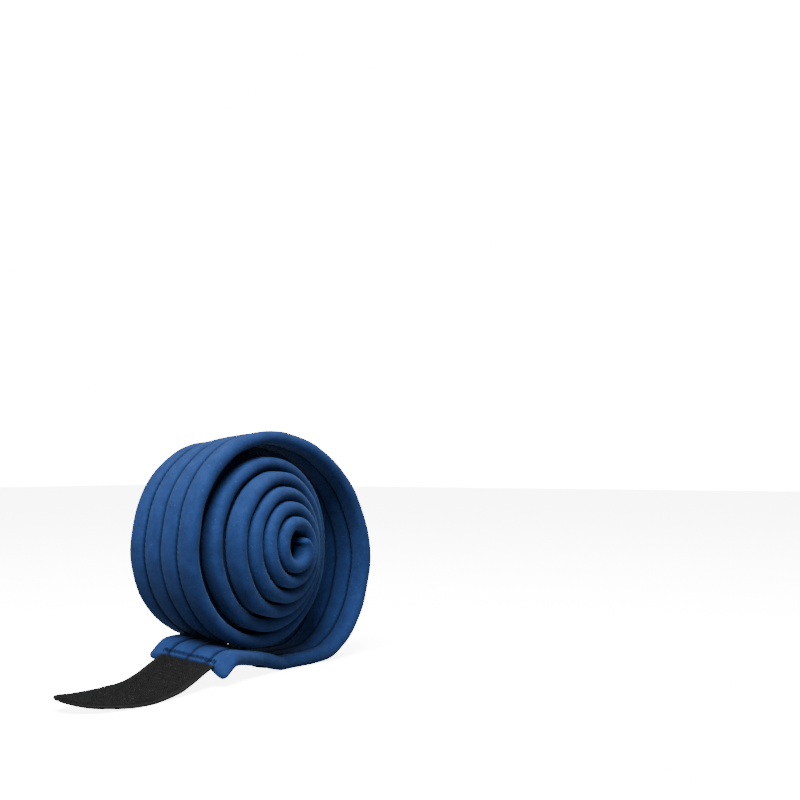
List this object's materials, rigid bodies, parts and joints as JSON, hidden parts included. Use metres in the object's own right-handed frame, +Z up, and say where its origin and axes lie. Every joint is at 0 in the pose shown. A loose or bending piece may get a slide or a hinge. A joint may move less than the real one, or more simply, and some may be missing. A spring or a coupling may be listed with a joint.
{
  "type": "arm sling",
  "caption": "Rolled-up padded strap arm sling of brushed blue fabric, with a black hook tape tab on its free end.",
  "frame": {"origin": "the middle of the flat stretch of strap that rests on the table, on its underside", "axes": "+Z up from the table, Y along the roll's axis with -Y its telescoped side, -X towards the free end with the hook tape"},
  "size_m": [0.279, 0.0871, 0.165],
  "materials": {
    "cover": "matte",
    "foam": "matte",
    "thread": "matte",
    "tape": "matte",
    "hooks": "matte"
  },
  "bodies": {
    "tail_base": {"base_cover": "cover", "base_foam": "foam", "base_near_stitch_row": "thread", "base_far_stitch_row": "thread"},
    "outer_turn_1": {"outer_turn_1_cover": "cover", "outer_turn_1_foam": "foam", "outer_turn_1_near_stitch_row": "thread", "outer_turn_1_far_stitch_row": "thread"},
    "outer_turn_2": {"outer_turn_2_cover": "cover", "outer_turn_2_foam": "foam", "outer_turn_2_near_stitch_row": "thread", "outer_turn_2_far_stitch_row": "thread"},
    "outer_turn_3": {"outer_turn_3_cover": "cover", "outer_turn_3_foam": "foam", "outer_turn_3_near_stitch_row": "thread", "outer_turn_3_far_stitch_row": "thread"},
    "flap": {"flap_cover": "cover", "flap_foam": "foam", "flap_near_stitch_row": "thread", "flap_far_stitch_row": "thread", "outer_end_seam": "thread", "hook_tape_sewn_end": "tape"},
    "roll": {"outer_turn_4_cover": "cover", "outer_turn_4_foam": "foam", "outer_turn_4_near_stitch_row": "thread", "outer_turn_4_far_stitch_row": "thread", "inner_turn_1_cover": "cover", "inner_turn_1_foam": "foam", "inner_turn_1_near_stitch_row": "thread", "inner_turn_1_far_stitch_row": "thread", "inner_turn_2_cover": "cover", "inner_turn_2_foam": "foam", "inner_turn_2_near_stitch_row": "thread", "inner_turn_2_far_stitch_row": "thread", "inner_turn_3_cover": "cover", "inner_turn_3_foam": "foam", "inner_turn_3_near_stitch_row": "thread", "inner_turn_3_far_stitch_row": "thread", "inner_turn_4_cover": "cover", "inner_turn_4_foam": "foam", "inner_turn_4_near_stitch_row": "thread", "inner_turn_4_far_stitch_row": "thread", "inner_turn_5_cover": "cover", "inner_turn_5_foam": "foam", "inner_turn_5_near_stitch_row": "thread", "inner_turn_5_far_stitch_row": "thread", "inner_end_seam": "thread"},
    "tab_root": {"hook_tape_root_backing": "tape", "hook_tape_root_hooks": "hooks"},
    "tab_tip": {"hook_tape_tip_backing": "tape", "hook_tape_tip_hooks": "hooks"}
  },
  "joints": [
    {"name": "unroll_1", "type": "hinge", "parent": "tail_base", "child": "outer_turn_1", "pos_m": [0.04054, 0, 0.00338], "axis": [0, 1, 0], "range_deg": [0, 42]},
    {"name": "unroll_2", "type": "hinge", "parent": "outer_turn_1", "child": "outer_turn_2", "pos_m": [0.07518, 0, 0.03822], "axis": [0, 1, 0], "range_deg": [0, 48.6]},
    {"name": "unroll_3", "type": "hinge", "parent": "outer_turn_2", "child": "outer_turn_3", "pos_m": [0.07398, 0, 0.10393], "axis": [0, 1, 0], "range_deg": [0, 43.3]},
    {"name": "unroll_4", "type": "hinge", "parent": "outer_turn_3", "child": "roll", "pos_m": [0.02058, 0, 0.15695], "axis": [0, 1, 0], "range_deg": [0, 46.8]},
    {"name": "flap_lift", "type": "hinge", "parent": "tail_base", "child": "flap", "pos_m": [-0.07004, -0.01364, 0.0232], "axis": [-0.1946, 0.967, 0.1646], "range_deg": [0, 30]},
    {"name": "tab_fold", "type": "hinge", "parent": "flap", "child": "tab_root", "pos_m": [-0.1, -0.01969, 0.01662], "axis": [-0.2195, 0.9625, 0.1592], "range_deg": [0, 40]},
    {"name": "tab_bend", "type": "hinge", "parent": "tab_root", "child": "tab_tip", "pos_m": [-0.14607, -0.02526, 0.00587], "axis": [-0.0887, 0.9823, 0.165], "range_deg": [0, 45]}
  ],
  "couplings": [
    {"joint": "unroll_2", "follows": "unroll_1", "ratio": 1.1566},
    {"joint": "unroll_3", "follows": "unroll_1", "ratio": 1.029},
    {"joint": "unroll_4", "follows": "unroll_1", "ratio": 1.1128}
  ]
}
